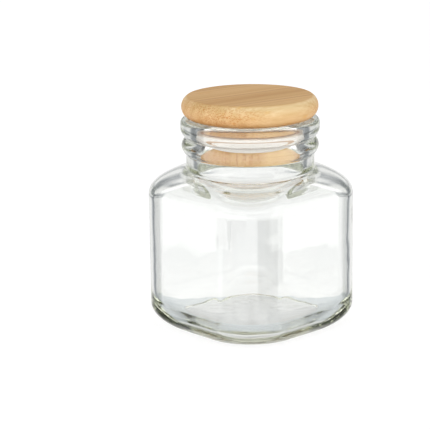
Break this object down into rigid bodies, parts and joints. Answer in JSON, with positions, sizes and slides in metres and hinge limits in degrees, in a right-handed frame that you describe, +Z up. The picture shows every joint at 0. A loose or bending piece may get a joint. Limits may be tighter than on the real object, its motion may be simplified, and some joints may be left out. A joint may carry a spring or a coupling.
{
  "type": "spice jar",
  "caption": "Small square clear-glass storage jar with rounded corners, a beaded round neck and a push-in bamboo stopper sealed by a finned silicone ring.",
  "frame": {"origin": "centre of the base, on the surface the jar stands on", "axes": "+Z up along the neck's axis; X and Y are parallel to the flat sides of the square body"},
  "size_m": [0.055, 0.055, 0.075],
  "materials": {
    "clear_glass": "polished pressed glass, slightly wavy inside",
    "bamboo_a": "sanded, matt clear oil",
    "bamboo_b": "sanded, matt clear oil",
    "bamboo_c": "sanded, matt clear oil",
    "bamboo_d": "sanded, matt clear oil",
    "silicone": "translucent, satin"
  },
  "bodies": {
    "jar": {"glass_jar": "clear_glass"},
    "gasket": {"silicone_gasket": "silicone"},
    "stopper": {"stopper_strip_near": "bamboo_a", "stopper_strip_mid_near": "bamboo_b", "stopper_strip_mid_far": "bamboo_c", "stopper_strip_far": "bamboo_d"}
  },
  "joints": [
    {"name": "lid_lift", "type": "slide", "parent": "jar", "child": "gasket", "axis": [0, 0, 1], "range_m": [0, 0.032]},
    {"name": "lid_turn", "type": "hinge", "parent": "gasket", "child": "stopper", "pos_m": [0, 0, 0.0679], "axis": [0, 0, 1], "continuous": true}
  ]
}
